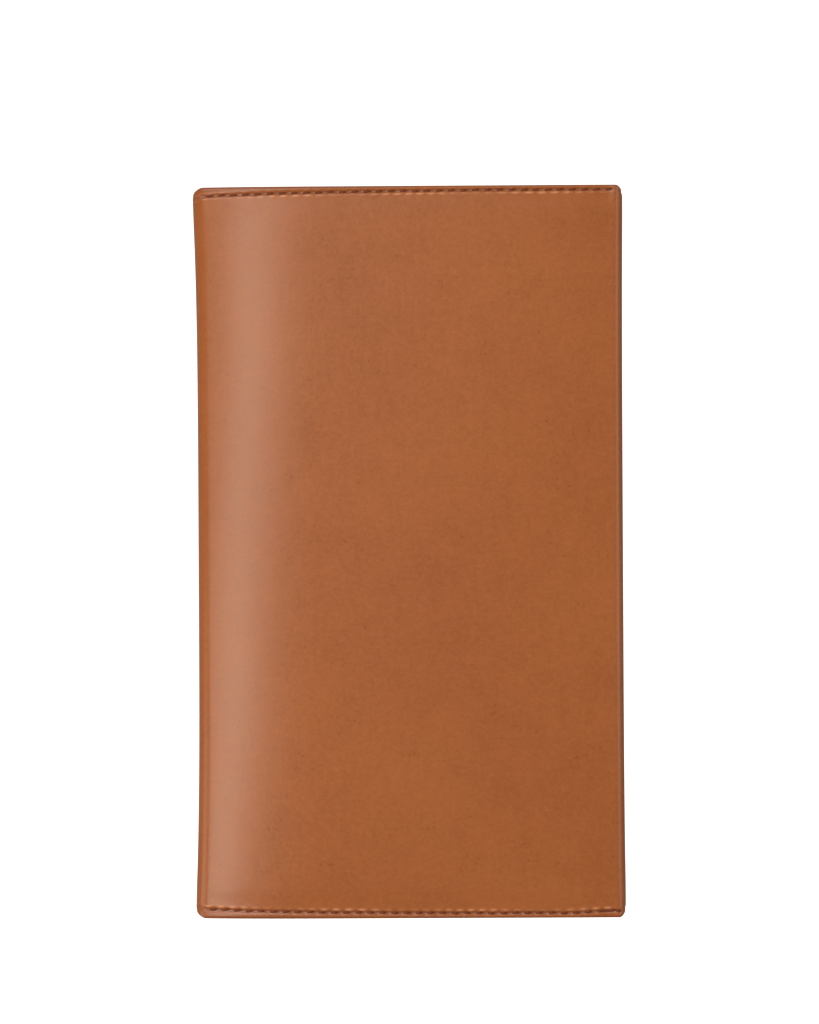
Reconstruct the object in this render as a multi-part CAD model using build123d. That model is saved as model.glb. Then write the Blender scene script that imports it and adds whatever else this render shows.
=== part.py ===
"""Long wallet that opens like a book, standing closed on its bottom edge.

One strip of leather makes both covers and the spine. Its top and bottom edges are turned in, and at
each fore edge it folds back inside the cover as a note sleeve, which opens towards the spine. Under
the leather lie thin foam, a stiffener board and a woven lining. The front half's sleeve carries eight
card slots, and the back half's sleeve carries a slip pocket.

+X runs from the spine to the fore edge, +Y from the front cover to the back cover, +Z up. The origin is
at the middle of the footprint. Every layer is placed by its depth, measured inwards from the outside of
its cover. The front half is drawn on the -Y side, and the back half is the same drawing mirrored.
"""

import math
import os

from build123d import *

# Overall sizes, in millimetres.
HEIGHT = 183.0
WIDTH = 107.5  # outside of the spine to the fore edge, closed

# Material thicknesses.
LEATHER = 1.0  # covers, spine and note sleeves
SLOT_LEATHER = 0.5  # card slot facings
POCKET_LEATHER = 0.8  # slip pocket
PADDING = 0.5  # foam under the cover leather
BOARD = 0.5  # stiffener under the foam
LINING = 0.3  # woven lining
SLOT_CLOTH = 0.12  # cloth behind each card slot facing

# Room left between layers.
NOTE_GAP = 0.7  # between the cover's lining and the sleeve's lining
CLOSED_GAP = 0.6  # between the closed halves where they come nearest
LAYER_GAP = 0.04  # between loose layers that lie on each other
CORE_GAP = 0.1  # round the foam, board and sleeve lining
HINGE_GAP = 0.2  # between the spine's pieces and the covers' pieces

# Turned edges and seams.
HEM_WIDTH = 8.0
EDGE_ROUND = 0.8
THREAD = 0.45
STITCH_PITCH = 3.0
STITCH_SPACE = 0.2  # between one stitch and the next
SEAM_INSET = 1.7  # top or bottom edge to the stitch line
GROOVE_DEPTH = 0.5
GROOVE_WIDTH = 0.8
HINGE_PROUD = 0.4  # how far outside the leather each fold turns

# Note sleeves and what is sewn to them.
MOUTH_INSET = 10.0  # outside of the spine to the sleeves' open edge
PANEL_INSET = 0.8  # sleeve's open edge or fold to the card slots and slip pocket
PANEL_BASE = 4.0  # height of their bottom edge
PANEL_SEAM_INSET = 1.5
SLOT_COUNT = 8
SLOT_PITCH = 14.0
FIRST_SLOT_OPENING = 50.0
SLOT_FACING = 19.0  # how far each facing reaches below its opening
SLOT_DEPTH = 46.0  # how far the cloth behind it reaches
CLOTH_INSET = 2.5  # facing's side to its cloth's side
POCKET_HEIGHT = 118.0
NOTCH_RADIUS = 14.0
NOTCH_DEPTH = 6.0

# Depths of the layers in one half.
CORE = PADDING + BOARD  # turned-in edges are pared to this thickness
LINING_TOP = LEATHER + CORE
LINING_UNDER = LINING_TOP + LINING
SLEEVE_TOP = LINING_UNDER + NOTE_GAP + LINING
HALF_DEPTH = SLEEVE_TOP + LEATHER

# Card slots lean back like roof tiles, so each facing's foot goes behind the next one down.
CLOTH_STEP = SLOT_CLOTH + LAYER_GAP
SLOT_SLOPE = (SLOT_LEATHER + CLOTH_STEP) / SLOT_PITCH
CLOTH_SLOPE = CLOTH_STEP / SLOT_PITCH
CLOTH_LAYERS = math.ceil((SLOT_DEPTH - SLOT_FACING) / SLOT_PITCH) + 1
SLOT_RISE = SLOT_FACING * SLOT_SLOPE + CLOTH_LAYERS * CLOTH_STEP + LAYER_GAP
CARD_STACK = SLOT_RISE + SLOT_LEATHER
SLIP_STACK = LAYER_GAP + POCKET_LEATHER

THICKNESS = 2 * HALF_DEPTH + CARD_STACK + SLIP_STACK + CLOSED_GAP
SPINE_RADIUS = THICKNESS / 2

# Places along the width.
SPINE_X = -WIDTH / 2
NOSE_X = SPINE_X + SPINE_RADIUS  # centre line of the round spine
FOLD_RADIUS = HALF_DEPTH / 2
FOLD_X = WIDTH / 2 - FOLD_RADIUS  # centre line of each fore edge fold
MOUTH_X = SPINE_X + MOUTH_INSET
PANEL_LEFT = MOUTH_X + PANEL_INSET
PANEL_RIGHT = FOLD_X - PANEL_INSET

# The two folds run through the first stitch holes each side of the spine's middle.
HINGE_ANGLE = math.degrees(STITCH_PITCH / SPINE_RADIUS)
HINGE_HALF_GAP = math.degrees(HINGE_GAP / 2 / SPINE_RADIUS)
COVER_START = HINGE_ANGLE + HINGE_HALF_GAP
SPINE_END = HINGE_ANGLE - HINGE_HALF_GAP
SQUARE = 90.0

UP = (0, 0, 1)
SMALL = 1e-3


def nose_point(depth, angle):
    """A point of a layer round the spine. The angle turns from the spine's middle to the front cover."""
    radius = SPINE_RADIUS - depth
    turn = math.radians(angle)
    return (NOSE_X - radius * math.cos(turn), -radius * math.sin(turn))


def nose_arc(depth, start, end):
    return ThreePointArc(
        nose_point(depth, start),
        nose_point(depth, (start + end) / 2),
        nose_point(depth, end),
    )


def depth_at(point):
    """How deep a point of the front half lies under the outside of the closed wallet's front."""
    if point.X < NOSE_X:
        return SPINE_RADIUS - math.hypot(point.X - NOSE_X, point.Y)
    return SPINE_RADIUS - abs(point.Y)


def raise_outline(edges, low, high):
    """The solid over a closed outline in the XY plane, between two heights."""
    return Pos(0, 0, low) * extrude(make_face(edges), high - low, dir=UP)


def cover_layer(top, under, end_x, low, high):
    """A layer of the front half that starts at the spine's fold and runs flat to end_x."""
    top_corner = (end_x, top - SPINE_RADIUS)
    under_corner = (end_x, under - SPINE_RADIUS)
    edges = [
        nose_arc(top, COVER_START, SQUARE),
        Line(nose_point(top, SQUARE), top_corner),
        Line(top_corner, under_corner),
        Line(under_corner, nose_point(under, SQUARE)),
        nose_arc(under, SQUARE, COVER_START),
        Line(nose_point(under, COVER_START), nose_point(top, COVER_START)),
    ]
    return raise_outline(edges, low, high)


def nose_layer(top, under, start, end, low, high):
    """A piece of a layer round the spine, between two angles."""
    edges = [
        nose_arc(top, start, end),
        Line(nose_point(top, end), nose_point(under, end)),
        nose_arc(under, end, start),
        Line(nose_point(under, start), nose_point(top, start)),
    ]
    return raise_outline(edges, low, high)


def spine_layer(top, under, low, high):
    """A layer of the spine, between its two folds."""
    return nose_layer(top, under, -SPINE_END, SPINE_END, low, high)


def slab(left, right, top, under, low, high):
    """A flat layer of the front half, given by its sides, depths and heights."""
    middle = ((left + right) / 2, (top + under) / 2 - SPINE_RADIUS, (low + high) / 2)
    return Pos(*middle) * Box(right - left, under - top, high - low)


def both_ends(width, inset=0.0):
    """The height ranges of two bands that lie along the bottom and top edges."""
    return [(inset, inset + width), (HEIGHT - inset - width, HEIGHT - inset)]


def round_ends(shape, depth):
    """Rounds the bottom and top edges that lie at one depth."""
    outer = [
        edge
        for edge in shape.edges()
        if min(abs((edge @ 0.5).Z), abs((edge @ 0.5).Z - HEIGHT)) < SMALL
        and abs(depth_at(edge @ 0.5) - depth) < SMALL
        and abs(depth_at(edge @ 0.1) - depth) < SMALL
    ]
    return fillet(outer, EDGE_ROUND)


def groove_bands():
    """The height ranges of the two stitch grooves."""
    return both_ends(GROOVE_WIDTH, SEAM_INSET - GROOVE_WIDTH / 2)


def make_cover():
    """Cover leather from the spine's fold to the fore edge, its turned edges glued flat inside."""
    cover = cover_layer(0, LEATHER, FOLD_X, 0, HEIGHT)
    for low, high in both_ends(HEM_WIDTH):
        cover += cover_layer(LEATHER, LINING_TOP, FOLD_X, low, high)
    cover = round_ends(cover, 0)
    for low, high in groove_bands():
        cover -= cover_layer(0, GROOVE_DEPTH, FOLD_X, low, high)
    return cover


def fold_band(inner_radius, low, high):
    """Half a ring that turns the cover leather back inside, at the fore edge."""
    centre_y = FOLD_RADIUS - SPINE_RADIUS

    def arc(radius, side):
        return ThreePointArc(
            (FOLD_X, centre_y - side * radius),
            (FOLD_X + radius, centre_y),
            (FOLD_X, centre_y + side * radius),
        )

    edges = [
        arc(FOLD_RADIUS, 1),
        Line((FOLD_X, centre_y + FOLD_RADIUS), (FOLD_X, centre_y + inner_radius)),
        arc(inner_radius, -1),
        Line((FOLD_X, centre_y - inner_radius), (FOLD_X, centre_y - FOLD_RADIUS)),
    ]
    return raise_outline(edges, low, high)


def make_fore_edge():
    """The fore edge fold, thicker at both ends where the turned edges lie inside it."""
    fold = fold_band(FOLD_RADIUS - LEATHER, 0, HEIGHT)
    for low, high in both_ends(HEM_WIDTH):
        fold += fold_band(LINING / 2, low, high)
    ends = [
        edge
        for edge in fold.edges()
        if min(abs((edge @ 0.5).Z), abs((edge @ 0.5).Z - HEIGHT)) < SMALL
        and (edge @ 0.5).X > WIDTH / 2 - SMALL
    ]
    return fillet(ends, EDGE_ROUND)


def make_sleeve():
    """Note sleeve: the cover leather folded back inside, with its own turned edges."""
    sleeve = slab(MOUTH_X, FOLD_X, SLEEVE_TOP, HALF_DEPTH, 0, HEIGHT)
    for low, high in both_ends(HEM_WIDTH):
        sleeve += slab(MOUTH_X, FOLD_X, LINING_UNDER, SLEEVE_TOP, low, high)
    sleeve = round_ends(sleeve, HALF_DEPTH)
    for low, high in groove_bands():
        sleeve -= slab(MOUTH_X, FOLD_X, HALF_DEPTH - GROOVE_DEPTH, HALF_DEPTH, low, high)
    return sleeve


def core_heights():
    """The height range between the turned edges."""
    return HEM_WIDTH + CORE_GAP, HEIGHT - HEM_WIDTH - CORE_GAP


def make_padding():
    low, high = core_heights()
    return cover_layer(LEATHER, LEATHER + PADDING, FOLD_X, low, high)


def make_board():
    """Stiffener board, which stops where the cover starts to bend round the spine."""
    low, high = core_heights()
    return slab(NOSE_X, FOLD_X, LEATHER + PADDING, LINING_TOP, low, high)


def make_lining():
    low, high = EDGE_ROUND, HEIGHT - EDGE_ROUND
    return cover_layer(LINING_TOP, LINING_UNDER, FOLD_X - CORE_GAP, low, high)


def make_sleeve_lining():
    low, high = core_heights()
    return slab(MOUTH_X + PANEL_INSET, FOLD_X, SLEEVE_TOP - LINING, SLEEVE_TOP, low, high)


def make_spine_wrap():
    """Leather over the spine between its two folds, with its turned edges."""
    wrap = spine_layer(0, LEATHER, 0, HEIGHT)
    for low, high in both_ends(HEM_WIDTH):
        wrap += spine_layer(LEATHER, LINING_TOP, low, high)
    wrap = round_ends(wrap, 0)
    for low, high in groove_bands():
        wrap -= spine_layer(0, GROOVE_DEPTH, low, high)
    return wrap


def slot_opening(number):
    """Height of a card slot's opening. Slot 1 is the lowest and lies in front."""
    return FIRST_SLOT_OPENING + (number - 1) * SLOT_PITCH


def leaning_sheet(left, right, line, thickness):
    """A thin sheet on the front sleeve. The line gives (height, rise of its back over the sleeve)."""
    base = HALF_DEPTH - SPINE_RADIUS
    back = [(base + rise, height) for height, rise in line]
    front = [(y + thickness, height) for y, height in reversed(back)]
    face = make_face(Plane.YZ * Polyline(*back, *front, close=True))
    return Pos(left, 0, 0) * extrude(face, right - left, dir=(1, 0, 0))


def facing_line(number):
    """Where the back of a card slot's facing lies. The lowest facing reaches the panel's base."""
    opening = slot_opening(number)
    foot = SLOT_RISE - SLOT_FACING * SLOT_SLOPE
    line = [(opening, SLOT_RISE), (opening - SLOT_FACING, foot)]
    if number == 1:
        line.append((PANEL_BASE, foot - (opening - SLOT_FACING - PANEL_BASE) * CLOTH_SLOPE))
    return line


def facing_rise(height):
    """How far the foremost facing stands over the sleeve at a height below the top opening."""
    number = max(1, math.ceil((height - FIRST_SLOT_OPENING) / SLOT_PITCH) + 1)
    below = slot_opening(number) - height
    steep = min(below, SLOT_FACING) * SLOT_SLOPE
    gentle = max(0.0, below - SLOT_FACING) * CLOTH_SLOPE
    return SLOT_RISE - steep - gentle + SLOT_LEATHER


def make_card_slot(number):
    """One card slot's leather facing."""
    return leaning_sheet(PANEL_LEFT, PANEL_RIGHT, facing_line(number), SLOT_LEATHER)


def make_slot_cloth(number):
    """The thin cloth behind a facing, which carries the card."""
    opening = slot_opening(number)
    behind = CLOTH_STEP
    knee = SLOT_RISE - SLOT_FACING * SLOT_SLOPE - behind
    foot = knee - (SLOT_DEPTH - SLOT_FACING) * CLOTH_SLOPE
    line = [
        (opening - LAYER_GAP, SLOT_RISE - behind),
        (opening - SLOT_FACING, knee),
        (opening - SLOT_DEPTH, foot),
    ]
    return leaning_sheet(PANEL_LEFT + CLOTH_INSET, PANEL_RIGHT - CLOTH_INSET, line, SLOT_CLOTH)


def make_slip_pocket():
    """Slip pocket with a thumb notch, drawn on the front half and mirrored with the rest."""
    top = HALF_DEPTH + LAYER_GAP
    opening = PANEL_BASE + POCKET_HEIGHT
    pocket = slab(PANEL_LEFT, PANEL_RIGHT, top, top + POCKET_LEATHER, PANEL_BASE, opening)
    middle = ((PANEL_LEFT + PANEL_RIGHT) / 2, top - SPINE_RADIUS, opening + NOTCH_RADIUS - NOTCH_DEPTH)
    return pocket - Pos(*middle) * Rot(X=SQUARE) * Cylinder(NOTCH_RADIUS, 4 * POCKET_LEATHER)


def stitch(length, top, under):
    """One stitch as a closed loop of thread through the layers, lying along X at depth 0 to the front."""
    span = under - top
    loop = Box(length, span, THREAD) - Box(length - 2 * THREAD, span - 2 * THREAD, 2 * THREAD)
    return Pos(0, (top + under) / 2, 0) * loop


STITCH_LENGTH = STITCH_PITCH - STITCH_SPACE
STITCH_TOP = GROOVE_DEPTH - THREAD


def nose_stitch(number, height):
    """A seam stitch round the spine, its legs along the radius. Numbers count from the middle to the front."""
    half_gap = math.degrees(STITCH_SPACE / 2 / SPINE_RADIUS)
    leg = math.degrees(THREAD / SPINE_RADIUS)
    start = math.degrees(number * STITCH_PITCH / SPINE_RADIUS) + half_gap
    end = math.degrees((number + 1) * STITCH_PITCH / SPINE_RADIUS) - half_gap
    low, high = height - THREAD / 2, height + THREAD / 2
    loop = nose_layer(STITCH_TOP, LINING_UNDER, start, end, low, high)
    inside = (STITCH_TOP + THREAD, LINING_UNDER - THREAD, start + leg, end - leg)
    return loop - nose_layer(*inside, low, high)


def flat_stitch(x, top, under, height):
    return Pos(x, -SPINE_RADIUS, height) * stitch(STITCH_LENGTH, top, under)


def seam_heights():
    return (SEAM_INSET, HEIGHT - SEAM_INSET)


def make_seam_thread():
    """The cover's stitches along both edges, from the spine's fold to the fore edge."""
    nose_count = int(math.radians(SQUARE) * SPINE_RADIUS / STITCH_PITCH)
    first = NOSE_X + nose_count * STITCH_PITCH - math.radians(SQUARE) * SPINE_RADIUS + STITCH_PITCH / 2
    count = int((FOLD_X - first - STITCH_PITCH / 2) / STITCH_PITCH) + 1
    stitches = []
    for height in seam_heights():
        stitches += [nose_stitch(number, height) for number in range(1, nose_count)]
        for x in (first + STITCH_PITCH * i for i in range(count)):
            if x - STITCH_PITCH / 2 > MOUTH_X:
                under = HALF_DEPTH - STITCH_TOP
            elif x + STITCH_PITCH / 2 < MOUTH_X:
                under = LINING_UNDER
            else:
                continue
            stitches.append(flat_stitch(x, STITCH_TOP, under, height))
    return stitches


def make_spine_thread():
    return [nose_stitch(number, height) for height in seam_heights() for number in (-1, 0)]


def panel_rows(top_height):
    """Heights of the upright stitches beside a panel, and places of the stitches along its foot."""
    room = top_height - PANEL_BASE - 2 * PANEL_SEAM_INSET
    upright_count = int(room / STITCH_PITCH)
    heights = [PANEL_BASE + PANEL_SEAM_INSET + STITCH_PITCH * (i + 0.5) for i in range(upright_count)]
    width = PANEL_RIGHT - PANEL_LEFT - 2 * PANEL_SEAM_INSET
    foot_count = int((width - 2 * THREAD) / STITCH_PITCH)
    left = (PANEL_LEFT + PANEL_RIGHT - foot_count * STITCH_PITCH) / 2
    places = [left + STITCH_PITCH * (i + 0.5) for i in range(foot_count)]
    return heights, places


def panel_thread(top_height, rise_at):
    """Stitches along both sides and the foot of a panel that is sewn to the front sleeve."""
    heights, places = panel_rows(top_height)
    stitches = []
    for x in (PANEL_LEFT + PANEL_SEAM_INSET, PANEL_RIGHT - PANEL_SEAM_INSET):
        for height in heights:
            loop = stitch(STITCH_LENGTH, SLEEVE_TOP, HALF_DEPTH + rise_at(height))
            stitches.append(Pos(x, -SPINE_RADIUS, height) * Rot(Y=SQUARE) * loop)
    foot_height = PANEL_BASE + PANEL_SEAM_INSET - THREAD
    for x in places:
        under = HALF_DEPTH + rise_at(foot_height)
        stitches.append(flat_stitch(x, SLEEVE_TOP, under, foot_height))
    return stitches


def make_card_slot_thread():
    return panel_thread(slot_opening(SLOT_COUNT), facing_rise)


def make_slip_pocket_thread():
    return panel_thread(PANEL_BASE + POCKET_HEIGHT, lambda height: SLIP_STACK)


def to_back(shape):
    """The same shape in the back half."""
    return mirror(shape, about=Plane.XZ)


def model():
    """Every sub-part by name: a solid, or a list of solids for a row of stitches."""
    cover, fore_edge, sleeve = make_cover(), make_fore_edge(), make_sleeve()
    padding, board, lining = make_padding(), make_board(), make_lining()
    sleeve_lining, seam = make_sleeve_lining(), make_seam_thread()
    core_low, core_high = core_heights()
    parts = {
        "front_cover": cover,
        "front_padding": padding,
        "front_board": board,
        "front_lining": lining,
        "front_fore_edge": fore_edge,
        "front_note_sleeve": sleeve,
        "front_sleeve_lining": sleeve_lining,
        "front_seam_thread": seam,
        "back_cover": to_back(cover),
        "back_padding": to_back(padding),
        "back_board": to_back(board),
        "back_lining": to_back(lining),
        "back_fore_edge": to_back(fore_edge),
        "back_note_sleeve": to_back(sleeve),
        "back_sleeve_lining": to_back(sleeve_lining),
        "back_seam_thread": [to_back(loop) for loop in seam],
        "spine_wrap": make_spine_wrap(),
        "spine_padding": spine_layer(LEATHER, LEATHER + PADDING, core_low, core_high),
        "spine_reinforcement": spine_layer(LEATHER + PADDING, LINING_TOP, core_low, core_high),
        "spine_lining": spine_layer(LINING_TOP, LINING_UNDER, EDGE_ROUND, HEIGHT - EDGE_ROUND),
        "spine_seam_thread": make_spine_thread(),
        "card_slot_thread": make_card_slot_thread(),
        "slip_pocket": to_back(make_slip_pocket()),
        "slip_pocket_thread": [to_back(loop) for loop in make_slip_pocket_thread()],
    }
    for number in range(1, SLOT_COUNT + 1):
        parts[f"card_slot_{number}"] = make_card_slot(number)
        parts[f"card_slot_cloth_{number}"] = make_slot_cloth(number)
    return parts


def main():
    os.makedirs("parts", exist_ok=True)
    for name, shape in model().items():
        solids = shape if isinstance(shape, list) else [shape]
        export_step(Compound(solids), f"parts/{name}.step")
    reach = SPINE_RADIUS + HINGE_PROUD
    turn = math.radians(HINGE_ANGLE)
    hinge = (NOSE_X - reach * math.cos(turn), reach * math.sin(turn))
    print(f"thickness {THICKNESS:.3f}, one half {HALF_DEPTH:.3f}, card stack {CARD_STACK:.3f}")
    print(f"fold axes at x {hinge[0]:.4f}, y {hinge[1]:.4f} and y {-hinge[1]:.4f}")


main()
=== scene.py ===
# %% [markdown]
# # A long wallet in tan leather
#
# The wallet is one strip of leather. It wraps round the spine, covers a half on each side, turns back
# inside at both fore edges as a note sleeve, and is sewn along its top and bottom edges. Here each half
# of that strip is laid out flat, as it is cut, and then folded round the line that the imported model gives.

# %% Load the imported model
import math
import random

import bpy
import numpy as np
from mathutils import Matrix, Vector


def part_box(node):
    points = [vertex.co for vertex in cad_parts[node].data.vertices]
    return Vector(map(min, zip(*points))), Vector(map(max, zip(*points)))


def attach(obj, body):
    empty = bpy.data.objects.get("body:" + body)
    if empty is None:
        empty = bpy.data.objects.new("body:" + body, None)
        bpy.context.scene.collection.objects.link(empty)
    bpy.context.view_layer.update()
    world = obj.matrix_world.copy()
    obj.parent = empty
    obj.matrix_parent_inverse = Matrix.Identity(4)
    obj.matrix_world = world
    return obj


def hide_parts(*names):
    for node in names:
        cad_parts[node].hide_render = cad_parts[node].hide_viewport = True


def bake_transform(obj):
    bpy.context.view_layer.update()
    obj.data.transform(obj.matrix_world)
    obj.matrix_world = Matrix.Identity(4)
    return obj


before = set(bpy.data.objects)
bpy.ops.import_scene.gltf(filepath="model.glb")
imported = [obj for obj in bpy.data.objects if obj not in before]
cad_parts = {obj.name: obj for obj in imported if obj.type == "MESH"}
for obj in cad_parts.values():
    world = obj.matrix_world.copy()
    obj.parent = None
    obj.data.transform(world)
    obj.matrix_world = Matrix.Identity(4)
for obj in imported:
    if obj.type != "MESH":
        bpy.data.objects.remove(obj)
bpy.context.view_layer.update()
bpy.ops.object.select_all(action="DESELECT")

# %% [markdown]
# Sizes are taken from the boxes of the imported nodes, so the pieces made here lie where those nodes lie.
# Everything is in metres, and MM keeps the small sizes readable.

# %% Sizes
MM = 0.001
PITCH = 3.02 * MM
LEATHER = 0.95 * MM
LINING = 0.3 * MM
HEM_DEPTH = 2.0 * MM
HEM_WIDTH = 8.0 * MM

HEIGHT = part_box("front_cover")[1].z
SPINE_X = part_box("spine_wrap")[0].x
FORE_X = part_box("front_fore_edge")[1].x
HALF_THICK = -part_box("front_cover")[0].y
HALF_DEPTH = HALF_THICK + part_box("front_note_sleeve")[1].y
MOUTH_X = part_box("front_note_sleeve")[0].x
FOLD_RADIUS = HALF_DEPTH / 2
FOLD_X = FORE_X - FOLD_RADIUS
FRONT, BACK = -1, 1
print(f"height {HEIGHT:.4f}, width {FORE_X - SPINE_X:.4f}, thickness {2 * HALF_THICK:.4f}")

# %% [markdown]
# ## Camera, floor and light
# A wallet is shown square-on, on white, with a long lens that keeps its upright edges parallel. The
# camera comes first, so that every later look is from the same place.

# %% Camera
CAMERA_FAR = 1.3
VIEW_HEIGHT = 0.2556  # how much height the view takes in at the front cover
CAMERA_RISE = 0.01  # the camera's height above the wallet's middle
CAMERA_SIDE = 0.0001
CAMERA_YAW = math.radians(0.9)
CAMERA_ROLL = math.radians(0.3)
SENSOR = 0.036

camera_data = bpy.data.cameras.new("camera")
camera_data.sensor_width = SENSOR / MM
camera_data.lens = SENSOR / MM * CAMERA_FAR / VIEW_HEIGHT
camera = bpy.data.objects.new("camera", camera_data)
bpy.context.scene.collection.objects.link(camera)
camera.location = (
    CAMERA_SIDE + math.sin(CAMERA_YAW) * CAMERA_FAR,
    -HALF_THICK - math.cos(CAMERA_YAW) * CAMERA_FAR,
    HEIGHT / 2 + CAMERA_RISE,
)
camera.rotation_euler = (math.radians(90), CAMERA_ROLL, CAMERA_YAW)
bpy.context.scene.camera = camera
bpy.context.scene.view_settings.view_transform = "Standard"
print(f"lens {camera_data.lens:.0f} mm")

# %% [markdown]
# The floor and the wall are one white sweep that goes all the way round, so that every side of the
# wallet can be seen on white: a disc whose rim is extruded up and then rounded, so that no line shows
# where floor meets wall. It is only a backdrop. The lamps and the studio's even light do the lighting,
# and pass through it.

# %% Sweep
SWEEP_RADIUS = 5.0
SWEEP_WALL = 2.0
SWEEP_ROUND = 1.2
SWEEP_SIDES = 96
SWEEP_STEPS = 10


def deselect_mesh():
    bpy.ops.object.mode_set(mode="EDIT")
    bpy.ops.mesh.select_all(action="DESELECT")
    bpy.ops.object.mode_set(mode="OBJECT")


def active():
    return bpy.context.active_object


bpy.ops.mesh.primitive_circle_add(vertices=SWEEP_SIDES, radius=SWEEP_RADIUS, fill_type="TRIFAN")
sweep = active()
sweep.name = "sweep"
deselect_mesh()
for edge in sweep.data.edges:
    edge.select = all(sweep.data.vertices[v].co.length > SWEEP_RADIUS / 2 for v in edge.vertices)
bpy.ops.object.mode_set(mode="EDIT")
bpy.ops.mesh.select_mode(type="EDGE")
bpy.ops.mesh.extrude_region_move(TRANSFORM_OT_translate={"value": (0, 0, SWEEP_WALL)})
bpy.ops.object.mode_set(mode="OBJECT")
corner = sweep.modifiers.new("round", "BEVEL")
corner.width = SWEEP_ROUND
corner.segments = SWEEP_STEPS
bpy.ops.object.modifier_apply(modifier="round")
bpy.ops.object.shade_smooth()
sweep.visible_diffuse = False
sweep.visible_glossy = False
sweep.visible_shadow = False
print("sweep", len(sweep.data.polygons), "faces")

# %% [markdown]
# The main light is a large soft box, high and to the left. A narrow warm strip and a small one at its
# foot draw the long highlight beside the spine, a low warm one lights the round of the spine, and one
# on the right keeps the fore edge clear. The even light of a white studio fills in the rest.

# %% Lights
STUDIO_LIGHT = 0.34
WARM = (1, 0.9, 0.78)
MIDDLE = (0, 0, HEIGHT / 2)
NEAR_SPINE = (SPINE_X + 0.012, 0, HEIGHT / 2)


def soft_box(name, place, target, width, height, power, lean=0.0, colour=(1, 1, 1)):
    """A rectangular light that faces a point. Lean turns it about the line to that point."""
    data = bpy.data.lights.new(name, "AREA")
    data.shape = "RECTANGLE"
    data.size, data.size_y = width, height
    data.energy = power
    data.color = colour
    light = bpy.data.objects.new(name, data)
    bpy.context.scene.collection.objects.link(light)
    light.location = place
    light.rotation_mode = "QUATERNION"
    aim = (Vector(target) - Vector(place)).to_track_quat("-Z", "Y")
    light.rotation_quaternion = aim @ Matrix.Rotation(lean, 3, "Z").to_quaternion()
    light.visible_camera = False


soft_box("strip", (-0.195, -0.5, 0.09), NEAR_SPINE, 0.06, 0.44, 1.14, math.radians(-22), WARM)
soft_box("foot", (-0.31, -0.5, -0.03), NEAR_SPINE, 0.1, 0.24, 0.19, colour=WARM)
soft_box("spine_low", (-0.4, -0.16, -0.08), (SPINE_X, 0, 0.05), 0.25, 0.25, 0.55, colour=WARM)
soft_box("right", (0.7, -0.7, 0.2), MIDDLE, 0.5, 0.8, 2.4)
soft_box("top_left", (-0.45, -1.05, 0.85), MIDDLE, 0.8, 0.8, 8.7)
world = bpy.data.worlds.new("studio")
world.use_nodes = True
background = world.node_tree.nodes["Background"]
background.inputs["Color"].default_value = (1, 1, 1, 1)
background.inputs["Strength"].default_value = STUDIO_LIGHT
bpy.context.scene.world = world
print(len(bpy.data.lights), "soft boxes")

# %% [markdown]
# ## Shader arithmetic
# A procedural finish is mostly arithmetic on patterns. One small class wraps a socket, so that
# `1 - mask * 0.3` adds its own Math nodes, and one method adds any other node with its settings.

# %% Shader helpers


class Value:
    """A socket of a material's node tree that takes Python arithmetic."""

    def __init__(self, finish, socket):
        self.finish = finish
        self.socket = socket

    def maths(self, operation, *others):
        inputs = {0: self, **dict(enumerate(others, 1))}
        return self.finish.node("ShaderNodeMath", {"operation": operation}, inputs)

    def __add__(self, other):
        return self.maths("ADD", other)

    __radd__ = __add__

    def __mul__(self, other):
        return self.maths("MULTIPLY", other)

    __rmul__ = __mul__

    def __sub__(self, other):
        return self.maths("SUBTRACT", other)

    def __rsub__(self, other):
        return (self * -1) + other

    def __neg__(self):
        return self * -1

    def clipped(self, low=0.0, high=1.0):
        return self.maths("MAXIMUM", low).maths("MINIMUM", high)

    def smooth(self, low, high):
        """0 below low, 1 above high and a soft step between."""
        settings = {"interpolation_type": "SMOOTHSTEP"}
        inputs = {"Value": self, "From Min": low, "From Max": high}
        return self.finish.node("ShaderNodeMapRange", settings, inputs)


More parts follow.
